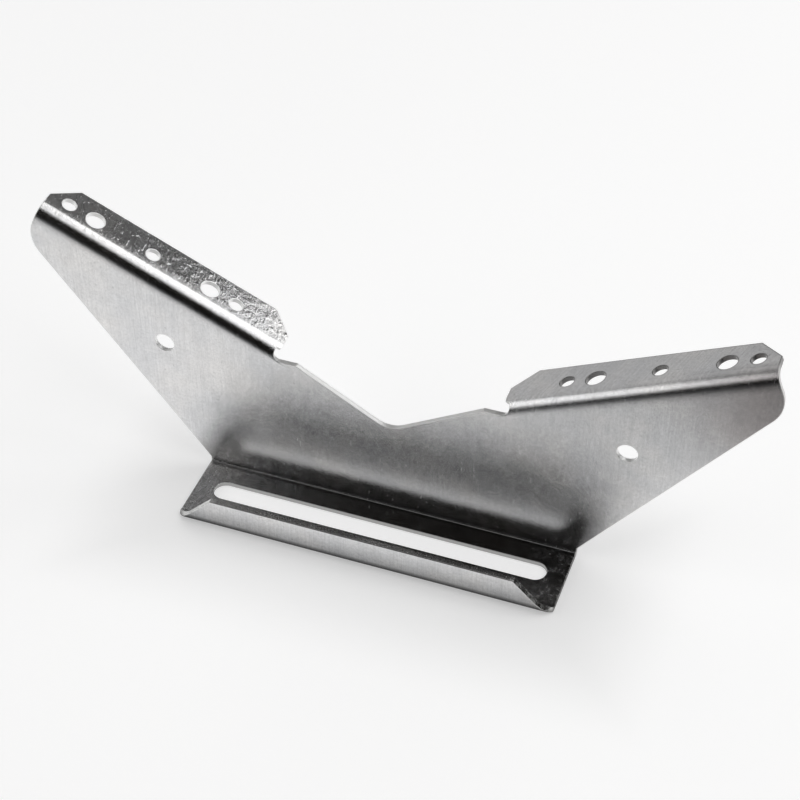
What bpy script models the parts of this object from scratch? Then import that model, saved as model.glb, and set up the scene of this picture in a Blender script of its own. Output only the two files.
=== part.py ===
"""Roof bracket: one sheet of galvanised steel, cut to a flat blank and folded four times.

Metres, +Z up. The channel that carries the load is at the bottom, along X, with its seat on
z = 0. The web stands up behind it and spreads into two wings, and the edge of each wing is
folded back into a holed flange that lies on one slope of the roof.
The origin is the middle of the bounding box's floor.
"""
import math

import bmesh
import bpy
from mathutils import Vector

SHEET = 0.0025                      # sheet thickness

# channel: base, lip and slot
BASE_LENGTH = 0.180
BASE_DEPTH = 0.0407                 # front face of the web to outer face of the lip
BASE_BEND_INNER = 0.001             # inner radius between web and base
LIP_HEIGHT = 0.0184
LIP_BEND_OUTER = 0.007              # outer radius between base and lip
LIP_CHAMFER = 0.018                 # 45 degree cut across each lip corner
SLOT_LENGTH = 0.162
SLOT_WIDTH = 0.011
SLOT_FORWARD = 0.017                # slot centre line in front of the web

# web: V-shaped top, wings with slanted lower edges
CORNER_HEIGHT = 0.0048              # where the slanted lower edge leaves the base's end
LOWER_EDGE_ANGLE = math.radians(53.0)
V_APEX_HEIGHT = 0.0496              # where the two sides of the V would meet
V_ANGLE = math.radians(30.0)
V_RADIUS = 0.012
SHOULDER_HEIGHT = 0.0749            # level edge between the V and the relief
SHOULDER_RADIUS = 0.002
TIP_RADIUS = 0.016
WEB_HOLE = (0.1085, 0.0702)         # X and Z of the hole in each wing
WEB_HOLE_DIAMETER = 0.0094

# flanges: u runs up along a wing from the middle plane, width runs back from the web's face
WING_PITCH = math.radians(24.5)
RIDGE_HEIGHT = 0.0564               # where the two flange faces would meet
FLANGE_START = 0.0573
FLANGE_END = 0.181
FLANGE_WIDTH = 0.0233
FLANGE_CHAMFER = 0.0108
FLANGE_BEND_OUTER = 0.0055
HOLE_ROW = 0.0125                   # row of holes behind the web's face
HOLE_MIDDLE = 0.1278
HOLE_PITCHES = (0.0432, 0.0297)     # small outer holes and large holes, each way
SMALL_HOLE_DIAMETER = 0.0067
LARGE_HOLE_DIAMETER = 0.009

# relief cut at the inner end of each flange's bend
RELIEF_START = 0.0593
RELIEF_RADIUS = 0.003
RELIEF_STEP_RADIUS = 0.0006
RELIEF_STEP_ANGLE = math.radians(62.0)

# facets
BEND_STEPS = 10
HOLE_SIDES = 32
ARC_STEP = math.radians(9.0)

# derived: the sheet's middle surface is folded, so bend lengths are taken on it
HALF_SHEET = SHEET / 2
WEB_FACE_Y = (BASE_DEPTH - FLANGE_WIDTH) / 2
BASE_TANGENT = SHEET + BASE_BEND_INNER
BASE_BEND_MIDDLE = BASE_BEND_INNER + HALF_SHEET
BASE_BEND_LENGTH = BASE_BEND_MIDDLE * math.pi / 2
BASE_FLAT = BASE_DEPTH - LIP_BEND_OUTER - BASE_BEND_INNER
LIP_BEND_MIDDLE = LIP_BEND_OUTER - HALF_SHEET
LIP_BEND_LENGTH = LIP_BEND_MIDDLE * math.pi / 2
LIP_FLAT = LIP_HEIGHT - LIP_BEND_OUTER
FLANGE_BEND_MIDDLE = FLANGE_BEND_OUTER - HALF_SHEET
FLANGE_BEND_LENGTH = FLANGE_BEND_MIDDLE * math.pi / 2

ALONG = Vector((math.cos(WING_PITCH), math.sin(WING_PITCH)))
ACROSS = Vector((-math.sin(WING_PITCH), math.cos(WING_PITCH)))
RIDGE = Vector((0.0, RIDGE_HEIGHT))
FOLD_FROM = 0.055                   # the shoulder, nearer the middle than this, stays flat

NODE = "bracket_plate"


def clear_scene():
    """Remove every object, so that the script can run twice."""
    for item in list(bpy.data.objects):
        bpy.data.objects.remove(item, do_unlink=True)


def collection(name):
    """Return a collection linked to the scene."""
    group = bpy.data.collections.get(name) or bpy.data.collections.new(name)
    if group.name not in bpy.context.scene.collection.children:
        bpy.context.scene.collection.children.link(group)
    return group


def galvanised_steel():
    """Bright hot-dip zinc on steel."""
    material = bpy.data.materials.new("galvanised_steel")
    material.use_nodes = True
    shader = material.node_tree.nodes["Principled BSDF"]
    shader.inputs["Base Color"].default_value = (0.58, 0.59, 0.60, 1.0)
    shader.inputs["Metallic"].default_value = 1.0
    shader.inputs["Roughness"].default_value = 0.32
    return material


def wing(u, across):
    """Blank position of a point u along the wing and this far across its ridge line."""
    return RIDGE + ALONG * u + ACROSS * across


def flange_across(width):
    """Blank distance across the ridge line of a point this far behind the web's face."""
    return width - FLANGE_BEND_OUTER * 2 + FLANGE_BEND_LENGTH


def below(distance):
    """Blank height of a point this far round the channel, from the foot of the web."""
    return BASE_TANGENT - distance


def base_distance(forward):
    """Distance round the channel of a point on the base, this far in front of the web."""
    return BASE_BEND_LENGTH + forward - BASE_BEND_INNER


def arc(centre, radius, start, turn):
    """Points on an arc, ends included."""
    steps = max(2, round(abs(turn) / ARC_STEP))
    angles = [start + turn * i / steps for i in range(steps + 1)]
    return [centre + Vector((math.cos(a), math.sin(a))) * radius for a in angles]


def rounded(before, corner, after, radius):
    """Arc that rounds the corner between two straight edges."""
    to_before = (before - corner).normalized()
    to_after = (after - corner).normalized()
    half = to_before.angle(to_after) / 2
    centre = corner + (to_before + to_after).normalized() * (radius / math.sin(half))
    reach = radius / math.tan(half)
    first = corner + to_before * reach - centre
    last = corner + to_after * reach - centre
    start = math.atan2(first.y, first.x)
    turn = math.atan2(last.y, last.x) - start
    turn = (turn + math.pi) % (2 * math.pi) - math.pi
    return arc(centre, radius, start, turn)


def outline(corners):
    """Closed outline from (point, radius) corners; a radius of 0 keeps the corner sharp."""
    points = []
    for i, (corner, radius) in enumerate(corners):
        if radius:
            before = corners[i - 1][0]
            after = corners[(i + 1) % len(corners)][0]
            points += rounded(before, corner, after, radius)
        else:
            points.append(corner)
    return points


def circle(centre, diameter):
    """Outline of a round hole."""
    step = 2 * math.pi / HOLE_SIDES
    return [centre + Vector((math.cos(i * step), math.sin(i * step))) * (diameter / 2)
            for i in range(HOLE_SIDES)]


def slot_edge():
    """Half of the slot, from the middle plane out round its end and back."""
    radius = SLOT_WIDTH / 2
    centre = Vector((SLOT_LENGTH / 2 - radius, below(base_distance(SLOT_FORWARD))))
    end = arc(centre, radius, -math.pi / 2, math.pi)
    return [Vector((0.0, end[0].y))] + end + [Vector((0.0, end[-1].y))]


def lower_edge_x(height):
    """X of the wing's slanted lower edge at a height."""
    return BASE_LENGTH / 2 + (height - CORNER_HEIGHT) / math.tan(LOWER_EDGE_ANGLE)


def tip_corner():
    """Where the wing's lower edge would meet the line of the flange's outer end."""
    rise = math.tan(LOWER_EDGE_ANGLE)
    start = Vector((lower_edge_x(0.0), 0.0))
    end_line = wing(FLANGE_END, 0.0)
    # start + (t, t * rise) lies on the line through end_line along ACROSS
    gap = end_line - start
    t = gap.dot(ALONG) / (ALONG.x + ALONG.y * rise)
    return start + Vector((t, t * rise))


def v_round():
    """Right half of the rounded bottom of the V, from the middle plane outwards."""
    centre = Vector((0.0, V_APEX_HEIGHT + V_RADIUS / math.cos(V_ANGLE)))
    return arc(centre, V_RADIUS, -math.pi / 2, V_ANGLE)


def half_blank():
    """Outline of the right half of the flat blank, open holes aside."""
    lip_top = below(BASE_BEND_LENGTH + BASE_FLAT + LIP_BEND_LENGTH + LIP_FLAT)
    half = BASE_LENGTH / 2
    far = flange_across(FLANGE_WIDTH)
    step = FLANGE_BEND_MIDDLE * RELIEF_STEP_ANGLE - FLANGE_BEND_OUTER
    shoulder_x = (SHOULDER_HEIGHT - V_APEX_HEIGHT) / math.tan(V_ANGLE)
    relief_x = (wing(RELIEF_START, 0.0)
                + ACROSS * ((SHOULDER_HEIGHT - wing(RELIEF_START, 0.0).y) / ACROSS.y)).x
    corners = [
        (Vector((0.0, lip_top)), 0.0),
        (Vector((half - LIP_CHAMFER, lip_top)), 0.0),
        (Vector((half, lip_top + LIP_CHAMFER)), 0.0),
        (Vector((half, CORNER_HEIGHT)), 0.0),
        (tip_corner(), TIP_RADIUS),
        (wing(FLANGE_END, far - FLANGE_CHAMFER), 0.0),
        (wing(FLANGE_END - FLANGE_CHAMFER, far), 0.0),
        (wing(FLANGE_START + FLANGE_CHAMFER, far), 0.0),
        (wing(FLANGE_START, far - FLANGE_CHAMFER), 0.0),
        (wing(FLANGE_START, step), RELIEF_STEP_RADIUS),
        (wing(RELIEF_START, step), RELIEF_STEP_RADIUS),
        (Vector((relief_x, SHOULDER_HEIGHT)), RELIEF_RADIUS),
        (Vector((shoulder_x, SHOULDER_HEIGHT)), SHOULDER_RADIUS),
    ]
    sheet = outline(corners)
    return sheet + v_round()[::-1] + slot_edge()[::-1]


def holes():
    """Outlines of the round holes in the right wing and its flange."""
    row = flange_across(HOLE_ROW)
    outer, inner = HOLE_PITCHES
    places = [(-outer, SMALL_HOLE_DIAMETER), (-inner, LARGE_HOLE_DIAMETER),
              (0.0, SMALL_HOLE_DIAMETER), (inner, LARGE_HOLE_DIAMETER),
              (outer, SMALL_HOLE_DIAMETER)]
    shapes = [circle(wing(HOLE_MIDDLE + offset, row), diameter) for offset, diameter in places]
    shapes.append(circle(Vector(WEB_HOLE), WEB_HOLE_DIAMETER))
    return shapes


def flat_mesh(loops):
    """Fill a 2D curve made of closed outlines and return it as a mesh."""
    curve = bpy.data.curves.new("blank_outline", "CURVE")
    curve.dimensions = "2D"
    curve.fill_mode = "FRONT"
    for loop in loops:
        spline = curve.splines.new("POLY")
        spline.points.add(len(loop) - 1)
        for point, place in zip(spline.points, loop):
            point.co = (place.x, place.y, 0.0, 1.0)
        spline.use_cyclic_u = True
    guide = bpy.data.objects.new("blank_outline", curve)
    bpy.context.scene.collection.objects.link(guide)
    evaluated = guide.evaluated_get(bpy.context.evaluated_depsgraph_get())
    mesh = bpy.data.meshes.new_from_object(evaluated)
    bpy.data.objects.remove(guide, do_unlink=True)
    return mesh


def fold_channel(distance):
    """Y and Z on the middle surface, this far round the channel from the foot of the web."""
    if distance <= BASE_BEND_LENGTH:
        turn = distance / BASE_BEND_MIDDLE
        return (-BASE_BEND_INNER + BASE_BEND_MIDDLE * math.cos(turn),
                BASE_TANGENT - BASE_BEND_MIDDLE * math.sin(turn))
    distance -= BASE_BEND_LENGTH
    if distance <= BASE_FLAT:
        return -BASE_BEND_INNER - distance, HALF_SHEET
    distance -= BASE_FLAT
    if distance <= LIP_BEND_LENGTH:
        turn = distance / LIP_BEND_MIDDLE
        return (LIP_BEND_OUTER - BASE_DEPTH - LIP_BEND_MIDDLE * math.sin(turn),
                LIP_BEND_OUTER - LIP_BEND_MIDDLE * math.cos(turn))
    return HALF_SHEET - BASE_DEPTH, LIP_BEND_OUTER + distance - LIP_BEND_LENGTH


def fold_flange(across):
    """Y and height across the ridge line of a point on the middle surface of a flange."""
    distance = across + FLANGE_BEND_OUTER
    if distance <= FLANGE_BEND_LENGTH:
        turn = distance / FLANGE_BEND_MIDDLE
        return (FLANGE_BEND_OUTER - FLANGE_BEND_MIDDLE * math.cos(turn),
                FLANGE_BEND_MIDDLE * math.sin(turn) - FLANGE_BEND_OUTER)
    return FLANGE_BEND_OUTER + distance - FLANGE_BEND_LENGTH, -HALF_SHEET


def folded(flat):
    """Where a point of the flat blank goes when the four bends are made."""
    offset = Vector((flat.x, flat.y)) - RIDGE
    u, across = offset.dot(ALONG), offset.dot(ACROSS)
    if flat.y < BASE_TANGENT:
        y, z = fold_channel(BASE_TANGENT - flat.y)
        return Vector((flat.x, y + WEB_FACE_Y, z))
    if u > FOLD_FROM and across > -FLANGE_BEND_OUTER:
        y, height = fold_flange(across)
        place = wing(u, height)
        return Vector((place.x, y + WEB_FACE_Y, place.y))
    return Vector((flat.x, HALF_SHEET + WEB_FACE_Y, flat.y))


def score(blank, point, normal):
    """Split the blank's faces along one line of a bend."""
    bmesh.ops.bisect_plane(blank, geom=blank.verts[:] + blank.edges[:] + blank.faces[:],
                           dist=1e-7, plane_co=point.to_3d(), plane_no=normal.to_3d())


def fold_blank(mesh):
    """Score the blank across its bends and fold it up."""
    blank = bmesh.new()
    blank.from_mesh(mesh)
    bmesh.ops.remove_doubles(blank, verts=blank.verts, dist=1e-6)
    for i in range(BEND_STEPS + 1):
        part = i / BEND_STEPS
        score(blank, Vector((0.0, below(BASE_BEND_LENGTH * part))), Vector((0.0, 1.0)))
        lip = BASE_BEND_LENGTH + BASE_FLAT + LIP_BEND_LENGTH * part
        score(blank, Vector((0.0, below(lip))), Vector((0.0, 1.0)))
        score(blank, wing(0.0, FLANGE_BEND_LENGTH * part - FLANGE_BEND_OUTER), ACROSS)
    for vert in blank.verts:
        vert.co = folded(vert.co)
    bmesh.ops.recalc_face_normals(blank, faces=blank.faces)
    blank.to_mesh(mesh)
    blank.free()


def make_bracket():
    """Half blank, folded, mirrored and given its thickness."""
    mesh = flat_mesh([half_blank()] + holes())
    mesh.name = NODE
    fold_blank(mesh)
    bracket = bpy.data.objects.new(NODE, mesh)
    bracket.data.materials.append(galvanised_steel())
    collection("roof_bracket").objects.link(bracket)
    mirror = bracket.modifiers.new("both_halves", "MIRROR")
    mirror.use_clip = True
    mirror.merge_threshold = 0.00001
    thickness = bracket.modifiers.new("sheet_thickness", "SOLIDIFY")
    thickness.thickness = SHEET
    thickness.offset = 0.0
    thickness.use_even_offset = True
    thickness.use_quality_normals = True
    mesh.shade_smooth()
    mesh.set_sharp_from_angle(angle=math.radians(30.0))
    return bracket


clear_scene()
make_bracket()
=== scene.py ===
import math

import bmesh
import bpy
from mathutils import Matrix, Vector, noise


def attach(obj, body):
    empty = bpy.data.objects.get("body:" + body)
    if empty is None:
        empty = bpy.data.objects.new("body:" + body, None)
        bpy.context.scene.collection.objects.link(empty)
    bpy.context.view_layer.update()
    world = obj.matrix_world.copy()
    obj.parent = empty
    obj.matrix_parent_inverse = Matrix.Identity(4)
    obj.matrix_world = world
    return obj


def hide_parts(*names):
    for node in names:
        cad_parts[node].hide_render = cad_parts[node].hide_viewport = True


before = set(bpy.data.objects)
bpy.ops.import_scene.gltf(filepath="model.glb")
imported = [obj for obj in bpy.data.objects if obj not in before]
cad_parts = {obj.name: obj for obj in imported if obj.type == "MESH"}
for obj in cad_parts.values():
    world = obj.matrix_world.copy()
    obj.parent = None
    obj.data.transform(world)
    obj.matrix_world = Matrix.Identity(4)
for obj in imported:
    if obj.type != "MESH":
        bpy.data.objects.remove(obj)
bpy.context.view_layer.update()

# ---------------------------------------------------------------- dimensions, in metres

SHEET = 0.0025
HALF_SHEET = SHEET / 2

BASE_LENGTH = 0.180
BASE_DEPTH = 0.0407
BASE_BEND_INNER = 0.001
LIP_HEIGHT = 0.0184
LIP_BEND_OUTER = 0.007
LIP_CHAMFER = 0.018
SLOT_LENGTH = 0.162
SLOT_WIDTH = 0.011
SLOT_FORWARD = 0.017

CORNER_HEIGHT = 0.0048
LOWER_EDGE_ANGLE = math.radians(53.0)
V_APEX_HEIGHT = 0.0496
V_ANGLE = math.radians(30.0)
V_RADIUS = 0.012
SHOULDER_HEIGHT = 0.0749
SHOULDER_RADIUS = 0.002
TIP_RADIUS = 0.016
WEB_HOLE = (0.1085, 0.0702)
WEB_HOLE_DIAMETER = 0.0094

WING_PITCH = math.radians(24.5)
RIDGE_HEIGHT = 0.0564
FLANGE_START = 0.0573
FLANGE_END = 0.181
FLANGE_WIDTH = 0.0233
FLANGE_CHAMFER = 0.0108
FLANGE_BEND_TAIL = 0.004
FLANGE_TAIL_TURN = math.radians(10.0)
FLANGE_BEND_MIDDLE = 0.0052
HOLE_ROW = 0.0125
HOLE_MIDDLE = 0.1278
HOLE_PITCHES = (0.0432, 0.0297)
SMALL_HOLE_DIAMETER = 0.0067
LARGE_HOLE_DIAMETER = 0.009

RELIEF_START = 0.0593
RELIEF_RADIUS = 0.003
RELIEF_STEP_RADIUS = 0.0006
RELIEF_STEP_ANGLE = math.radians(62.0)
FOLD_FROM = (0.0525, 0.0570)

# the cut edges: rolled over on the side the punch came from, almost sharp on the other
PUNCH_ROLL = 0.0005
BURR_ROLL = 0.00015
ROLL_STEPS = 4

ARC_STEP = math.radians(5.0)
HOLE_SIDES = 72
CELL = 0.003
FLANGE_BEND_STEPS = 26
LIP_BEND_STEPS = 18
BASE_BEND_STEPS = 8
SNAP = 0.00002
PATH_STEPS = 240
TOP_OF_BLANK = 0.150
END_OF_BLANK = 0.180

# slow and quick unevenness of the rolled sheet: waves in a metre, and height
WAVES = ((14.0, 0.00010, (3.1, 0.7, 0.0)), (45.0, 0.000018, (0.0, 5.3, 1.0)))

CAMERA_TARGET = (0.00542, 0.06971)
CAMERA_DISTANCE = 0.8494
CAMERA_ANGLES = (19.934, 42.053, -0.182)
CAMERA_LENS_MM = 86.8
LIGHT_CENTRE = (0.0, 0.0, 0.08)
LIGHT_DISTANCE = 1.5
# name, azimuth, elevation, width, height, radiance
SOFTBOXES = (
    ("right_side", 41.2, 48.0, 0.94, 1.3, 1.85),
    ("right_overhead", 102.0, 58.0, 1.21, 1.5, 1.6),
    ("left_front", -121.0, 28.5, 1.1, 0.84, 1.55),
    ("left_fill", -67.0, 30.0, 2.2, 1.3, 0.56),
    ("left_overhead", -80.0, 76.0, 1.3, 0.8, 0.35),
    ("back_fill", 1.5, 47.0, 0.40, 0.6, 0.16),
)
FLOOR_HALF = 3.0
FLOOR_DROP = 0.0002

WEB_FACE_Y = (BASE_DEPTH - FLANGE_WIDTH) / 2
BASE_TANGENT = SHEET + BASE_BEND_INNER
BASE_BEND_MIDDLE = BASE_BEND_INNER + HALF_SHEET
BASE_BEND_LENGTH = BASE_BEND_MIDDLE * math.pi / 2
BASE_FLAT = BASE_DEPTH - LIP_BEND_OUTER - BASE_BEND_INNER
LIP_BEND_MIDDLE = LIP_BEND_OUTER - HALF_SHEET
LIP_BEND_LENGTH = LIP_BEND_MIDDLE * math.pi / 2
LIP_FLAT = LIP_HEIGHT - LIP_BEND_OUTER
FLANGE_BEND_LENGTH = FLANGE_BEND_TAIL + FLANGE_BEND_MIDDLE * (math.pi / 2 - FLANGE_TAIL_TURN)

ALONG = Vector((math.cos(WING_PITCH), math.sin(WING_PITCH)))
ACROSS = Vector((-math.sin(WING_PITCH), math.cos(WING_PITCH)))
RIDGE = Vector((0.0, RIDGE_HEIGHT))

# ---------------------------------------------------------------- flange bend


def flange_turn(distance):
    """How far the sheet has turned this far round a flange bend: slowly at first, then quickly."""
    if distance < FLANGE_BEND_TAIL:
        return FLANGE_TAIL_TURN * (distance / FLANGE_BEND_TAIL) ** 2
    return FLANGE_TAIL_TURN + (distance - FLANGE_BEND_TAIL) / FLANGE_BEND_MIDDLE


def bend_path():
    """Back and up from the start of a flange bend, at even distances round it."""
    back, up = 0.0, 0.0
    path = [(back, up)]
    size = FLANGE_BEND_LENGTH / PATH_STEPS
    for i in range(PATH_STEPS):
        turn = flange_turn((i + 0.5) * size)
        back += size * math.sin(turn)
        up += size * math.cos(turn)
        path.append((back, up))
    return path


BEND_PATH = bend_path()
BEND_BACK, BEND_UP = BEND_PATH[-1]
BEND_START = -(BEND_UP + HALF_SHEET)


def on_bend(distance):
    """Back and up from the start of a flange bend, this far round it."""
    place = min(PATH_STEPS - 1e-6, max(0.0, distance / FLANGE_BEND_LENGTH * PATH_STEPS))
    i = int(place)
    (back, up), (next_back, next_up) = BEND_PATH[i:i + 2]
    return back + (next_back - back) * (place - i), up + (next_up - up) * (place - i)


# ---------------------------------------------------------------- flat blank


def wing(u, across):
    """Blank position of a point u along the right wing and this far across its ridge line."""
    return RIDGE + ALONG * u + ACROSS * across


def flange_across(width):
    """Blank distance across the ridge line of a point this far behind the web's face."""
    return BEND_START + FLANGE_BEND_LENGTH + width - HALF_SHEET - BEND_BACK


def below(distance):
    """Blank height of a point this far round the channel, from the foot of the web."""
    return BASE_TANGENT - distance


def arc(centre, radius, start, turn):
    """Points on an arc, ends included."""
    count = max(2, round(abs(turn) / ARC_STEP))
    angles = [start + turn * i / count for i in range(count + 1)]
    return [centre + Vector((math.cos(a), math.sin(a))) * radius for a in angles]


def rounded(before, corner, after, radius):
    """Arc that rounds the corner between two straight edges."""
    to_before = (before - corner).normalized()
    to_after = (after - corner).normalized()
    half = to_before.angle(to_after) / 2
    centre = corner + (to_before + to_after).normalized() * (radius / math.sin(half))
    reach = radius / math.tan(half)
    first = corner + to_before * reach - centre
    last = corner + to_after * reach - centre
    start = math.atan2(first.y, first.x)
    turn = math.atan2(last.y, last.x) - start
    turn = (turn + math.pi) % (2 * math.pi) - math.pi
    return arc(centre, radius, start, turn)


def outline(corners):
    """Outline from (point, radius) corners; a radius of 0 keeps the corner sharp."""
    points = []
    for i, (corner, radius) in enumerate(corners):
        if radius:
            before = corners[i - 1][0]
            after = corners[(i + 1) % len(corners)][0]
            points += rounded(before, corner, after, radius)
        else:
            points.append(corner)
    return points


def circle(centre, diameter):
    """Outline of a round hole."""
    step = 2 * math.pi / HOLE_SIDES
    return [centre + Vector((math.cos(i * step), math.sin(i * step))) * (diameter / 2)
            for i in range(HOLE_SIDES)]


def mirrored(points):
    """The same points on the other side of the middle plane, in reverse order."""
    return [Vector((-p.x, p.y)) for p in reversed(points)]


def slot_outline():
    """The long slot, as it lies in the blank."""
    radius = SLOT_WIDTH / 2
    centre = Vector((SLOT_LENGTH / 2 - radius,
                     below(BASE_BEND_LENGTH + SLOT_FORWARD - BASE_BEND_INNER)))
    right = arc(centre, radius, -math.pi / 2, math.pi)
    return right + mirrored(right)


def lower_edge_x(height):
    """X of the wing's slanted lower edge at a height."""
    return BASE_LENGTH / 2 + (height - CORNER_HEIGHT) / math.tan(LOWER_EDGE_ANGLE)


def tip_corner():
    """Where the wing's lower edge would meet the line of the flange's outer end."""
    rise = math.tan(LOWER_EDGE_ANGLE)
    start = Vector((lower_edge_x(0.0), 0.0))
    t = (wing(FLANGE_END, 0.0) - start).dot(ALONG) / (ALONG.x + ALONG.y * rise)
    return start + Vector((t, t * rise))


def plate_outline():
    """Outline of the whole blank, anticlockwise."""
    lip_top = below(BASE_BEND_LENGTH + BASE_FLAT + LIP_BEND_LENGTH + LIP_FLAT)
    half = BASE_LENGTH / 2
    far = flange_across(FLANGE_WIDTH)
    step = BEND_START + FLANGE_BEND_TAIL
    step += FLANGE_BEND_MIDDLE * (RELIEF_STEP_ANGLE - FLANGE_TAIL_TURN)
    shoulder_x = (SHOULDER_HEIGHT - V_APEX_HEIGHT) / math.tan(V_ANGLE)
    relief_foot = wing(RELIEF_START, 0.0)
    relief_x = (relief_foot + ACROSS * ((SHOULDER_HEIGHT - relief_foot.y) / ACROSS.y)).x
    corners = [
        (Vector((half - LIP_CHAMFER, lip_top)), 0.0),
        (Vector((half, lip_top + LIP_CHAMFER)), 0.0),
        (Vector((half, CORNER_HEIGHT)), 0.0),
        (tip_corner(), TIP_RADIUS),
        (wing(FLANGE_END, far - FLANGE_CHAMFER), 0.0),
        (wing(FLANGE_END - FLANGE_CHAMFER, far), 0.0),
        (wing(FLANGE_START + FLANGE_CHAMFER, far), 0.0),
        (wing(FLANGE_START, far - FLANGE_CHAMFER), 0.0),
        (wing(FLANGE_START, step), RELIEF_STEP_RADIUS),
        (wing(RELIEF_START, step), RELIEF_STEP_RADIUS),
        (Vector((relief_x, SHOULDER_HEIGHT)), RELIEF_RADIUS),
        (Vector((shoulder_x, SHOULDER_HEIGHT)), SHOULDER_RADIUS),
        (Vector((0.0, V_APEX_HEIGHT)), 0.0),
    ]
    right = outline(corners)[:-1]
    v_centre = Vector((0.0, V_APEX_HEIGHT + V_RADIUS / math.cos(V_ANGLE)))
    v_right = arc(v_centre, V_RADIUS, V_ANGLE - math.pi / 2, -V_ANGLE)
    right += v_right
    return right + mirrored(right)[1:]


def holes():
    """Outlines of the round holes in both wings and flanges."""
    row = flange_across(HOLE_ROW)
    outer, inner = HOLE_PITCHES
    places = [(-outer, SMALL_HOLE_DIAMETER), (-inner, LARGE_HOLE_DIAMETER),
              (0.0, SMALL_HOLE_DIAMETER), (inner, LARGE_HOLE_DIAMETER),
              (outer, SMALL_HOLE_DIAMETER)]
    right = [circle(wing(HOLE_MIDDLE + offset, row), diameter) for offset, diameter in places]
    right.append(circle(Vector(WEB_HOLE), WEB_HOLE_DIAMETER))
    return right + [mirrored(loop) for loop in right]


def area(loop):
    """Signed area of a closed outline: positive when it runs anticlockwise."""
    return sum(a.x * b.y - b.x * a.y for a, b in zip(loop, loop[1:] + loop[:1])) / 2


def shrunk(loop, distance, is_hole):
    """The outline moved into the material by a distance."""
    side = -1.0 if is_hole else 1.0
    if area(loop) < 0:
        side = -side
    moved = []
    for i, point in enumerate(loop):
        back = (point - loop[i - 1]).normalized()
        ahead = (loop[(i + 1) % len(loop)] - point).normalized()
        left = Vector((-back.y - ahead.y, back.x + ahead.x)).normalized()
        square = max(0.3, left.dot(Vector((-back.y, back.x))))
        moved.append(point + left * (side * distance / square))
    return moved


def filled(loops):
    """Fill closed outlines as one flat mesh."""
    curve = bpy.data.curves.new("blank_outline", "CURVE")
    curve.dimensions = "2D"
    curve.fill_mode = "FRONT"
    for loop in loops:
        spline = curve.splines.new("POLY")
        spline.points.add(len(loop) - 1)
        for point, place in zip(spline.points, loop):
            point.co = (place.x, place.y, 0.0, 1.0)
        spline.use_cyclic_u = True
    guide = bpy.data.objects.new("blank_outline", curve)
    bpy.context.scene.collection.objects.link(guide)
    evaluated = guide.evaluated_get(bpy.context.evaluated_depsgraph_get())
    mesh = bpy.data.meshes.new_from_object(evaluated)
    bpy.data.objects.remove(guide, do_unlink=True)
    return mesh


def cut(sheet, lines, wanted):
    """Cut the wanted faces of the flat sheet along lines, each a (point, normal) pair."""
    faces = [f for f in sheet.faces if wanted(f.calc_center_median())]
    region = list(dict.fromkeys(v for f in faces for v in f.verts))
    region += list(dict.fromkeys(e for f in faces for e in f.edges)) + faces
    for point, normal in lines:
        region = bmesh.ops.bisect_plane(sheet, geom=region, dist=SNAP,
                                        plane_co=point.to_3d(), plane_no=normal.to_3d())["geom"]


def steps(first, last, size):
    """Evenly spaced values strictly between two limits."""
    count = round((last - first) / size)
    return [first + (last - first) * i / count for i in range(1, count)]


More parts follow.
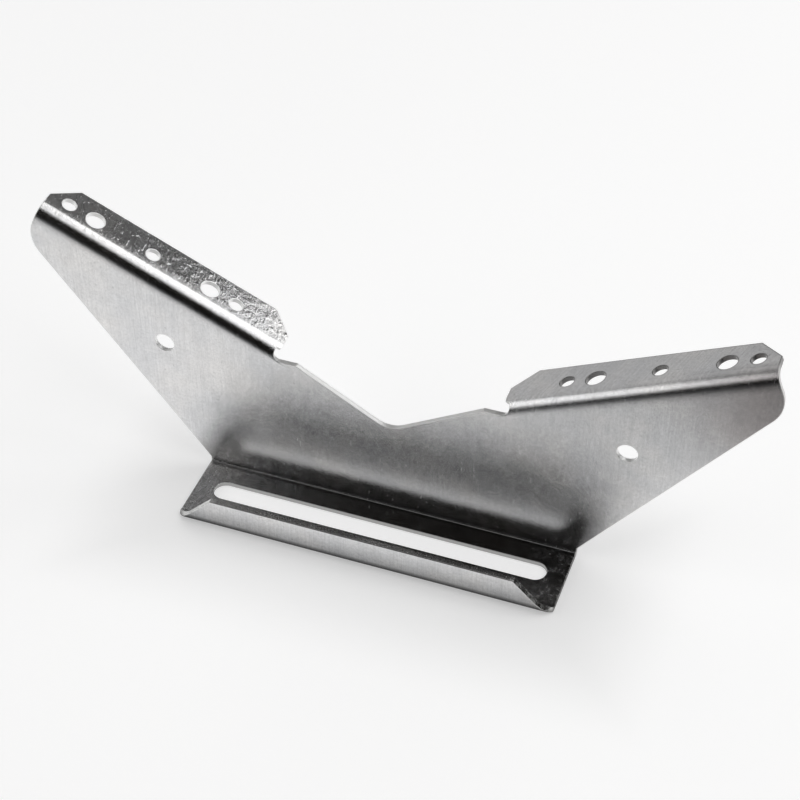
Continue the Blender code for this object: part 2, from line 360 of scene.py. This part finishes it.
def flat_sheet():
    """The blank as a grid of small cells that follow its bends."""
    loops = [shrunk(plate_outline(), PUNCH_ROLL, False)]
    loops += [shrunk(loop, PUNCH_ROLL, True) for loop in [slot_outline()] + holes()]
    sheet = bmesh.new()
    sheet.from_mesh(filled(loops))
    bmesh.ops.remove_doubles(sheet, verts=sheet.verts, dist=1e-6)
    diagonal = sheet.edges.layers.int.new("diagonal")
    for edge in sheet.edges:
        edge[diagonal] = 0 if edge.is_boundary else 1

    flat_from = BEND_START + FLANGE_BEND_LENGTH
    bend_cuts = [BEND_START + FLANGE_BEND_LENGTH * i / FLANGE_BEND_STEPS
                 for i in range(FLANGE_BEND_STEPS + 1)]
    row_cuts = steps(flat_from, flange_across(FLANGE_WIDTH), CELL)
    cut(sheet, [(Vector(), Vector((1.0, 0.0)))], lambda p: True)
    for side in (1.0, -1.0):
        along = Vector((ALONG.x * side, ALONG.y))
        across = Vector((ACROSS.x * side, ACROSS.y))

        def on_side(p):
            return p.x * side > 0

        def on_flange(p):
            offset = p.to_2d() - RIDGE
            return on_side(p) and offset.dot(across) > BEND_START and offset.dot(along) > FOLD_FROM[0]

        cut(sheet, [(RIDGE + across * d, across) for d in bend_cuts], on_side)
        cut(sheet, [(RIDGE + across * d, across) for d in row_cuts], on_flange)
        cut(sheet, [(RIDGE + along * u, along) for u in steps(FLANGE_START, FLANGE_END, CELL)],
            on_flange)

    def off_flanges(p):
        offset = Vector((abs(p.x), p.y)) - RIDGE
        return offset.dot(ACROSS) < BEND_START or offset.dot(ALONG) < FOLD_FROM[0]

    lip_bend = BASE_BEND_LENGTH + BASE_FLAT
    lip_flat = lip_bend + LIP_BEND_LENGTH
    distances = [BASE_BEND_LENGTH * i / BASE_BEND_STEPS for i in range(BASE_BEND_STEPS + 1)]
    distances += steps(BASE_BEND_LENGTH, lip_bend, CELL)
    distances += [lip_bend + LIP_BEND_LENGTH * i / LIP_BEND_STEPS for i in range(LIP_BEND_STEPS + 1)]
    distances += steps(lip_flat, lip_flat + LIP_FLAT, CELL)
    heights = [below(d) for d in distances] + steps(BASE_TANGENT, TOP_OF_BLANK, CELL)
    cut(sheet, [(Vector((0.0, y)), Vector((0.0, 1.0))) for y in heights], off_flanges)
    widths = steps(-END_OF_BLANK, END_OF_BLANK, CELL)
    cut(sheet, [(Vector((x, 0.0)), Vector((1.0, 0.0))) for x in widths], off_flanges)

    spare = [e for e in sheet.edges if e[diagonal] and not e.is_boundary]
    bmesh.ops.dissolve_edges(sheet, edges=spare, use_verts=False, use_face_split=False)
    spare = [v for v in sheet.verts if len(v.link_edges) == 2 and not v.is_boundary]
    bmesh.ops.dissolve_verts(sheet, verts=spare)
    bmesh.ops.recalc_face_normals(sheet, faces=sheet.faces)
    if sum(f.normal.z for f in sheet.faces) < 0:
        bmesh.ops.reverse_faces(sheet, faces=sheet.faces)
    return sheet


# ---------------------------------------------------------------- folding


def smooth_step(value, low, high):
    """0 below low, 1 above high, smooth between."""
    t = min(1.0, max(0.0, (value - low) / (high - low)))
    return t * t * (3 - 2 * t)


def bent(distance, radius):
    """Along and up after this distance round a right-angle bend, and the turn made."""
    turn = distance / radius
    return radius * math.sin(turn), radius * (1 - math.cos(turn)), turn


def fold_channel(distance):
    """Y, Z and lean of the middle surface, this far round from the foot of the web."""
    if distance <= BASE_BEND_LENGTH:
        down, forward, turn = bent(distance, BASE_BEND_MIDDLE)
        return HALF_SHEET - forward, BASE_TANGENT - down, turn
    distance -= BASE_BEND_LENGTH
    if distance <= BASE_FLAT:
        return -BASE_BEND_INNER - distance, HALF_SHEET, math.pi / 2
    distance -= BASE_FLAT
    if distance <= LIP_BEND_LENGTH:
        forward, up, turn = bent(distance, LIP_BEND_MIDDLE)
        return LIP_BEND_OUTER - BASE_DEPTH - forward, HALF_SHEET + up, math.pi / 2 + turn
    rise = distance - LIP_BEND_LENGTH
    return HALF_SHEET - BASE_DEPTH, LIP_BEND_OUTER + rise, math.pi


def fold_flange(across, u):
    """Y, height across the ridge line and lean of the middle surface of a flange."""
    distance = across - BEND_START
    if distance > FLANGE_BEND_LENGTH:
        return HALF_SHEET + BEND_BACK + distance - FLANGE_BEND_LENGTH, -HALF_SHEET, math.pi / 2
    fold = smooth_step(u, *FOLD_FROM)
    back, up = on_bend(distance)
    rise = BEND_START + up * fold + distance * (1 - fold)
    return HALF_SHEET + back * fold, rise, flange_turn(distance) * fold


def folded(x, y, height):
    """Where a point of the blank goes; height is above its middle surface, towards the front."""
    side = 1.0 if x >= 0 else -1.0
    flat = Vector((abs(x), y))
    offset = flat - RIDGE
    u, across = offset.dot(ALONG), offset.dot(ACROSS)
    if y < BASE_TANGENT:
        place_y, place_z, lean = fold_channel(BASE_TANGENT - y)
        point = Vector((flat.x, place_y - math.cos(lean) * height, place_z + math.sin(lean) * height))
    elif u > FOLD_FROM[0] and across > BEND_START:
        place_y, rise, lean = fold_flange(across, u)
        spot = wing(u, rise + math.sin(lean) * height)
        point = Vector((spot.x, place_y - math.cos(lean) * height, spot.y))
    else:
        point = Vector((flat.x, HALF_SHEET - height, y))
    return Vector((point.x * side, point.y + WEB_FACE_Y, point.z))


def waviness(x, y):
    """How far the rolled sheet is from truly flat."""
    place = Vector((x, y, 0.0))
    return sum(noise.noise(place * often + Vector(shift)) * rise for often, rise, shift in WAVES)


# ---------------------------------------------------------------- solid sheet with rolled edges


def rim_profile():
    """(outward, height) pairs from the front face's edge round to the back face's edge."""
    pairs = []
    for i in range(ROLL_STEPS + 1):
        turn = math.pi / 2 * i / ROLL_STEPS
        pairs.append((PUNCH_ROLL - BURR_ROLL * (1 - math.sin(turn)),
                      HALF_SHEET - BURR_ROLL * (1 - math.cos(turn))))
    for i in range(ROLL_STEPS):
        turn = math.pi / 2 * i / ROLL_STEPS
        pairs.append((PUNCH_ROLL * math.cos(turn),
                      PUNCH_ROLL * (1 - math.sin(turn)) - HALF_SHEET))
    return pairs


def outward_at(sheet):
    """For each boundary vertex of the flat sheet, how its rim moves out for each unit of rim."""
    directions = {}
    for edge in sheet.edges:
        if edge.is_boundary:
            loop = edge.link_loops[0]
            run = (loop.link_loop_next.vert.co - loop.vert.co).to_2d().normalized()
            out = Vector((run.y, -run.x))
            for vert in edge.verts:
                directions.setdefault(vert.index, []).append(out)
    outward = {}
    for index, (a, b) in directions.items():
        middle = (a + b).normalized()
        outward[index] = middle / max(0.3, middle.dot(a))
    return outward


def solid_sheet(name):
    """Give the flat sheet its thickness and its rim, and fold it."""
    sheet = flat_sheet()
    sheet.verts.index_update()
    outward = outward_at(sheet)
    solid = bmesh.new()
    blank = solid.verts.layers.float_vector.new("blank")
    rim = solid.verts.layers.float.new("rim")
    flange = solid.verts.layers.float.new("flange")

    def add(x, y, height, is_rim):
        lift = waviness(x, y)
        vert = solid.verts.new(folded(x, y, height + lift))
        vert[blank] = (x, y, height)
        vert[rim] = 1.0 if is_rim else 0.0
        offset = Vector((abs(x), y)) - RIDGE
        vert[flange] = smooth_step(offset.dot(ACROSS), -FLANGE_BEND_MIDDLE, FLANGE_BEND_MIDDLE)
        if offset.dot(ALONG) < FOLD_FROM[1]:
            vert[flange] = 0.0
        return vert

    front = [add(v.co.x, v.co.y, HALF_SHEET, False) for v in sheet.verts]
    back = [add(v.co.x, v.co.y, -HALF_SHEET, False) for v in sheet.verts]
    profile = rim_profile()
    rings = {}
    sheet.verts.ensure_lookup_table()
    for index, out in outward.items():
        spot = sheet.verts[index].co.to_2d()
        ring = [front[index]]
        for distance, height in profile:
            moved = spot + out * distance
            ring.append(add(moved.x, moved.y, height, True))
        ring.append(back[index])
        rings[index] = ring
    for face in sheet.faces:
        corners = [v.index for v in face.verts]
        solid.faces.new([front[i] for i in corners])
        solid.faces.new([back[i] for i in reversed(corners)])
    for edge in sheet.edges:
        if edge.is_boundary:
            loop = edge.link_loops[0]
            a, b = rings[loop.vert.index], rings[loop.link_loop_next.vert.index]
            for k in range(len(a) - 1):
                solid.faces.new((a[k], a[k + 1], b[k + 1], b[k]))
    bmesh.ops.recalc_face_normals(solid, faces=solid.faces)
    mesh = bpy.data.meshes.new(name)
    solid.to_mesh(mesh)
    solid.free()
    sheet.free()
    mesh.shade_smooth()
    piece = bpy.data.objects.new(name, mesh)
    bpy.context.scene.collection.objects.link(piece)
    weights = piece.modifiers.new("flat_faces_stay_flat", "WEIGHTED_NORMAL")
    weights.weight = 100
    return piece


# ---------------------------------------------------------------- materials


class Nodes:
    """Short calls for adding and joining shader nodes."""

    def __init__(self, name):
        self.material = bpy.data.materials.new(name)
        self.material.use_nodes = True
        self.tree = self.material.node_tree
        self.shader = self.tree.nodes["Principled BSDF"]

    def join(self, value, socket):
        if isinstance(value, bpy.types.NodeSocket):
            self.tree.links.new(value, socket)
        else:
            socket.default_value = value

    def add(self, kind, output, settings=None, **inputs):
        node = self.tree.nodes.new(kind)
        for name, value in (settings or {}).items():
            setattr(node, name, value)
        for name, value in inputs.items():
            self.join(value, node.inputs[name.replace("_", " ")])
        return node.outputs[output]

    def math(self, operation, a, b=0.0, c=0.0):
        node = self.tree.nodes.new("ShaderNodeMath")
        node.operation = operation
        for value, socket in zip((a, b, c), node.inputs):
            self.join(value, socket)
        return node.outputs[0]

    def place(self, vector, scale, turn=0.0, shift=(0.0, 0.0, 0.0)):
        return self.add("ShaderNodeMapping", "Vector", Vector=vector, Scale=scale,
                        Rotation=(0.0, 0.0, turn), Location=shift)

    def noise(self, vector, scale, detail=2.0, roughness=0.5, distortion=0.0):
        return self.add("ShaderNodeTexNoise", "Fac", Vector=vector, Scale=scale, Detail=detail,
                        Roughness=roughness, Distortion=distortion)

    def cells(self, vector, scale):
        return self.add("ShaderNodeTexVoronoi", "Distance", Vector=vector, Scale=scale)

    def spread(self, value, low, high, out_low=0.0, out_high=1.0):
        return self.add("ShaderNodeMapRange", "Result", {"interpolation_type": "SMOOTHSTEP"},
                        Value=value, From_Min=low, From_Max=high, To_Min=out_low, To_Max=out_high)

    def blend(self, factor, a, b, mode="MIX"):
        node = self.tree.nodes.new("ShaderNodeMix")
        node.data_type = "RGBA"
        node.blend_type = mode
        for value, index in ((factor, 0), (a, 6), (b, 7)):
            self.join(value, node.inputs[index])
        return node.outputs[2]

    def bump(self, height, distance, strength=1.0, normal=None):
        node = self.tree.nodes.new("ShaderNodeBump")
        node.inputs["Strength"].default_value = strength
        node.inputs["Distance"].default_value = distance
        self.join(height, node.inputs["Height"])
        if normal is not None:
            self.join(normal, node.inputs["Normal"])
        return node.outputs["Normal"]


def scratches(nodes, millimetres, turn, shift):
    """Short fine scratches that run one way."""
    stretched = nodes.place(millimetres, (0.9, 0.05, 0.2), turn, (shift, shift, 0.0))
    wander = nodes.math("MULTIPLY", nodes.noise(millimetres, 0.15), 0.8)
    bent_lines = nodes.add("ShaderNodeVectorMath", "Vector", {"operation": "ADD"}, Vector=stretched)
    nodes.join(wander, bent_lines.node.inputs[1])
    return nodes.spread(nodes.cells(bent_lines, 1.0), 0.10, 0.04)


def galvanised_steel():
    """Bright zinc on rolled steel.

    All of it has rolling streaks, soft clouds, fine flakes, grain, specks and handling scratches.
    The left flange is the most rubbed, the right one less. There is a worn patch low on the left of
    the web and there are scuffs at the ends of the base. Painted shade darkens the right tip of the web,
    with a brownish tint, and lies as a dark line in the inner corner. The cut edges are lighter and
    rougher than the faces, but painted darker as shade on the base and lip, and painted dark as shade
    on the right flange.
    """
    nodes = Nodes("galvanised_steel")
    blank = nodes.add("ShaderNodeAttribute", "Vector", {"attribute_name": "blank"})
    rim = nodes.add("ShaderNodeAttribute", "Fac", {"attribute_name": "rim"})
    flange = nodes.add("ShaderNodeAttribute", "Fac", {"attribute_name": "flange"})
    millimetres = nodes.place(blank, (1000.0, 1000.0, 1000.0))
    parts = nodes.add("ShaderNodeSeparateXYZ", "X", Vector=millimetres).node.outputs
    x, y = parts["X"], parts["Y"]

    clouds = nodes.noise(millimetres, 0.03, 3.0, 0.55)
    patches = nodes.noise(millimetres, 0.14, 4.0, 0.6, 0.4)
    flakes = nodes.noise(millimetres, 0.75, 4.0, 0.7, 0.2)
    spangle = nodes.noise(millimetres, 0.45, 2.0, 0.5, 0.4)
    strokes = nodes.noise(nodes.place(millimetres, (0.9, 0.24, 1.0), 0.35), 1.0, 2.0, 0.5)
    for turn in (1.1, 1.9, 2.7):
        more = nodes.noise(nodes.place(millimetres, (0.9, 0.24, 1.0), turn), 1.0, 2.0, 0.5)
        strokes = nodes.math("ADD", strokes, more)
    chips = nodes.spread(strokes, 2.05, 2.35)
    grain = nodes.noise(millimetres, 4.0, 2.0, 0.6)
    specks = nodes.spread(nodes.noise(millimetres, 0.55, 1.0, 0.5), 0.73, 0.80)
    streaks = nodes.noise(nodes.place(millimetres, (2.2, 0.06, 0.3)), 1.0, 3.0, 0.65)
    marks = scratches(nodes, millimetres, 0.5, 0.0)
    marks = nodes.math("MAXIMUM", marks, scratches(nodes, millimetres, 1.4, 7.0))
    marks = nodes.math("MAXIMUM", marks, scratches(nodes, millimetres, 2.4, 19.0))

    on_base = nodes.spread(y, 2.0, -1.0)
    far_out = nodes.spread(nodes.math("ABSOLUTE", x), 62.0, 84.0)
    scuffs = nodes.spread(nodes.noise(millimetres, 0.32, 5.0, 0.65, 0.3), 0.40, 0.64)
    scuffs = nodes.math("MULTIPLY", scuffs, nodes.math("MULTIPLY", on_base, far_out))
    # painted shade: the right tip of the web is darkened and tinted brown, standing in for the darker
    # reflection there
    tip_painted_shade = nodes.math("MULTIPLY", nodes.spread(x, 112.0, 168.0), nodes.spread(y, 62.0, 108.0))
    tip_painted_shade = nodes.math("MULTIPLY", tip_painted_shade, nodes.math("SUBTRACT", 1.0, flange))
    tip_painted_shade = nodes.math("MULTIPLY", tip_painted_shade, nodes.spread(clouds, 0.2, 0.6, 0.75, 1.0))

    worn = nodes.math("MULTIPLY", flange, nodes.spread(x, 20.0, -20.0, 0.3, 1.0))
    beside = nodes.math("ABSOLUTE", nodes.math("ADD", x, 52.0))
    above = nodes.math("ABSOLUTE", nodes.math("SUBTRACT", y, 38.0))
    rubbed = nodes.math("MULTIPLY", nodes.spread(beside, 50.0, 20.0), nodes.spread(above, 26.0, 8.0))
    # painted shade: the right flange's cut edges and hole walls are painted nearly black
    right_flange_edge_painted_shade = nodes.math("MULTIPLY", flange, nodes.spread(x, 60.0, 70.0))

    tone = nodes.spread(clouds, 0.3, 0.7, 0.94, 1.04)
    # painted shade: the colour is darkened to half along the inner corner of the bottom bend
    tone = nodes.math("MULTIPLY", tone, nodes.spread(nodes.math("ABSOLUTE", y), 0.8, 2.2, 0.5, 1.0))
    for texture, low, high, darkest, lightest in (
            (patches, 0.35, 0.65, 0.96, 1.03), (flakes, 0.3, 0.7, 0.92, 1.06),
            (streaks, 0.3, 0.7, 0.93, 1.04), (specks, 0.0, 1.0, 1.0, 0.80),
            (marks, 0.0, 1.0, 1.0, 1.08)):
        tone = nodes.math("MULTIPLY", tone, nodes.spread(texture, low, high, darkest, lightest))
    zinc = nodes.blend(nodes.spread(clouds, 0.35, 0.7), (0.640, 0.642, 0.650, 1.0),
                       (0.646, 0.638, 0.632, 1.0))
    # mix in the painted shade at the right tip
    zinc = nodes.blend(tip_painted_shade, zinc, (0.40, 0.375, 0.37, 1.0))
    colour = nodes.blend(1.0, zinc, nodes.add("ShaderNodeCombineColor", "Color", Red=tone,
                                              Green=tone, Blue=tone), "MULTIPLY")
    # cut edges are lighter than the faces; on the base and lip they are painted darker, as shade
    clear_of_base_edge_shade = nodes.spread(y, -4.0, 2.0)
    cut = nodes.blend(clear_of_base_edge_shade, (0.55, 0.55, 0.54, 1.0), (0.85, 0.85, 0.84, 1.0))
    # the right flange's cut edges take the painted shade
    cut = nodes.blend(right_flange_edge_painted_shade, cut, (0.06, 0.055, 0.05, 1.0))
    colour = nodes.blend(nodes.math("MULTIPLY", rim, 0.7), colour, cut)
    nodes.join(colour, nodes.shader.inputs["Base Color"])
    nodes.shader.inputs["Metallic"].default_value = 1.0

    gloss = nodes.spread(patches, 0.3, 0.7, 0.16, 0.20)
    gloss = nodes.math("SUBTRACT", gloss, nodes.math("MULTIPLY", flange, 0.09))
    gloss = nodes.math("SUBTRACT", gloss, nodes.math("MULTIPLY", on_base, 0.08))
    gloss = nodes.math("ADD", gloss, nodes.spread(flakes, 0.3, 0.7, -0.02, 0.02))
    gloss = nodes.math("ADD", gloss, nodes.math("MULTIPLY", marks, 0.10))
    gloss = nodes.math("ADD", gloss, nodes.math("MULTIPLY", scuffs, 0.18))
    gloss = nodes.math("ADD", gloss, nodes.math("MULTIPLY", rim, nodes.spread(y, -4.0, 2.0, 0.10, 0.24)))
    nodes.join(gloss, nodes.shader.inputs["Roughness"])

    normal = nodes.bump(patches, 0.00006)
    pressed = nodes.math("MULTIPLY_ADD", worn, 0.9, nodes.math("MULTIPLY_ADD", rubbed, 0.3, 0.1))
    normal = nodes.bump(nodes.math("MULTIPLY", spangle, pressed), 0.00005, normal=normal)
    normal = nodes.bump(nodes.math("MULTIPLY", strokes, pressed), 0.000016, normal=normal)
    normal = nodes.bump(nodes.math("MULTIPLY", chips, worn), 0.000034, normal=normal)
    normal = nodes.bump(nodes.math("MULTIPLY", flakes, pressed), 0.00001, normal=normal)
    normal = nodes.bump(streaks, 0.00001, normal=normal)
    matt = nodes.math("SUBTRACT", nodes.spread(y, 12.0, 33.0, 0.3, 1.65),
                      nodes.math("MULTIPLY", flange, 1.35))
    normal = nodes.bump(nodes.math("MULTIPLY", grain, matt), 0.00005, normal=normal)
    normal = nodes.bump(marks, 0.00002, -1.0, normal=normal)
    nodes.join(normal, nodes.shader.inputs["Normal"])
    return nodes.material


# ---------------------------------------------------------------- studio


def add_camera():
    """Camera above the bracket, to the right of its middle, with a long lens."""
    azimuth, elevation, roll = (math.radians(angle) for angle in CAMERA_ANGLES)
    target = Vector((CAMERA_TARGET[0], WEB_FACE_Y, CAMERA_TARGET[1]))
    back = Vector((math.sin(azimuth) * math.cos(elevation),
                   -math.cos(azimuth) * math.cos(elevation), math.sin(elevation)))
    right = Vector((math.cos(azimuth), math.sin(azimuth), 0.0))
    up = back.cross(right)
    right, up = (right * math.cos(roll) + up * math.sin(roll),
                 up * math.cos(roll) - right * math.sin(roll))
    data = bpy.data.cameras.new("camera")
    data.lens = CAMERA_LENS_MM
    data.sensor_width = 36.0
    camera = bpy.data.objects.new("camera", data)
    turn = Matrix((right, up, back)).transposed().to_4x4()
    camera.matrix_world = Matrix.Translation(target + back * CAMERA_DISTANCE) @ turn
    bpy.context.scene.collection.objects.link(camera)
    bpy.context.scene.camera = camera


def add_softbox(name, azimuth, elevation, width, height, radiance):
    """Flat panel of light facing the bracket. Azimuth 0 is behind it (+Y), clockwise from above."""
    a, e = math.radians(azimuth), math.radians(elevation)
    outward = Vector((math.sin(a) * math.cos(e), math.cos(a) * math.cos(e), math.sin(e)))
    light = bpy.data.lights.new(name, "AREA")
    light.shape = "RECTANGLE"
    light.size = width
    light.size_y = height
    light.energy = radiance * math.pi * width * height
    lamp = bpy.data.objects.new(name, light)
    lamp.location = Vector(LIGHT_CENTRE) + outward * LIGHT_DISTANCE
    lamp.rotation_euler = outward.to_track_quat("Z", "Y").to_euler()
    bpy.context.scene.collection.objects.link(lamp)


def add_studio():
    """Softboxes in a room that is pale where it is seen and dark where it is reflected."""
    world = bpy.data.worlds.new("studio")
    world.use_nodes = True
    tree = world.node_tree
    seen = tree.nodes.new("ShaderNodeLightPath").outputs["Is Camera Ray"]
    mix = tree.nodes.new("ShaderNodeMix")
    mix.data_type = "RGBA"
    mix.inputs[6].default_value = (0.008, 0.007, 0.006, 1.0)
    mix.inputs[7].default_value = (0.86, 0.86, 0.86, 1.0)
    tree.links.new(seen, mix.inputs[0])
    tree.links.new(mix.outputs[2], tree.nodes["Background"].inputs["Color"])
    bpy.context.scene.world = world
    for softbox in SOFTBOXES:
        add_softbox(*softbox)


def add_floor():
    """Pale table, large enough to fill every view.

    It glows, as painted light. Where it is seen, a painted soft shadow lies round the bracket's foot.
    Where it is reflected, it falls off to dark in front of the bracket and, as painted shadow, against
    its foot.
    """
    mesh = bpy.data.meshes.new("floor")
    shape = bmesh.new()
    bmesh.ops.create_grid(shape, x_segments=1, y_segments=1, size=FLOOR_HALF)
    shape.to_mesh(mesh)
    shape.free()
    floor = bpy.data.objects.new("floor", mesh)
    floor.location.z = -FLOOR_DROP
    nodes = Nodes("pale_table")
    shader = nodes.shader
    place = nodes.add("ShaderNodeTexCoord", "Object")
    parts = nodes.add("ShaderNodeSeparateXYZ", "X", Vector=place).node.outputs
    seen = nodes.add("ShaderNodeLightPath", "Is Camera Ray")
    far = nodes.add("ShaderNodeVectorMath", "Value", {"operation": "LENGTH"}, Vector=place)
    ahead = nodes.math("SUBTRACT", nodes.math("MULTIPLY", parts["X"], 0.35), parts["Y"])
    glow = nodes.spread(ahead, 0.0, 0.31, 0.70, 0.0)
    glow = nodes.math("MULTIPLY", glow, nodes.spread(parts["X"], -0.08, 0.16, 1.0, 0.96))
    pale = nodes.spread(far, 0.3, 2.5, 0.54, 0.84)
    beside = nodes.math("SUBTRACT", nodes.math("ABSOLUTE", parts["X"]), BASE_LENGTH / 2)
    before = nodes.math("SUBTRACT", nodes.math("ABSOLUTE", nodes.math("ADD", parts["Y"], 0.012)),
                        BASE_DEPTH / 2)
    away = nodes.math("MAXIMUM", beside, before)
    # painted soft shadow on the floor round the bracket's foot, where the floor is seen
    shade = nodes.math("MULTIPLY", nodes.spread(away, -0.012, -0.004),
                       nodes.spread(away, 0.060, 0.0, 0.0, 0.25))
    pale = nodes.math("MULTIPLY", pale, nodes.math("SUBTRACT", 1.0, shade))
    # painted shadow darkening the floor against the bracket's foot, where the floor is reflected
    painted_contact_shadow = nodes.math("MAXIMUM", nodes.spread(away, -0.004, 0.020, 0.05, 1.0),
                         nodes.spread(away, -0.004, -0.009, 0.0, 0.56))
    glow = nodes.math("MULTIPLY", glow, painted_contact_shadow)
    glow = nodes.math("MULTIPLY_ADD", seen, nodes.math("SUBTRACT", pale, glow), glow)
    nodes.join(glow, shader.inputs["Emission Strength"])
    front = nodes.spread(ahead, 0.06, 0.30)
    tone = nodes.blend(front, (0.60, 0.60, 0.60, 1.0), (0.064, 0.070, 0.072, 1.0))
    tone = nodes.blend(painted_contact_shadow, (0.03, 0.03, 0.03, 1.0), tone)
    nodes.join(nodes.blend(seen, tone, (0.60, 0.60, 0.60, 1.0)), shader.inputs["Base Color"])
    shader.inputs["Roughness"].default_value = 0.9
    shader.inputs["Emission Color"].default_value = (1.0, 1.0, 1.0, 1.0)
    mesh.materials.append(nodes.material)
    bpy.context.scene.collection.objects.link(floor)


add_camera()
add_studio()
add_floor()
bpy.context.scene.view_settings.view_transform = "Standard"

plate = solid_sheet("bracket_sheet")
plate.data.materials.append(galvanised_steel())
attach(plate, "root")
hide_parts("bracket_plate")
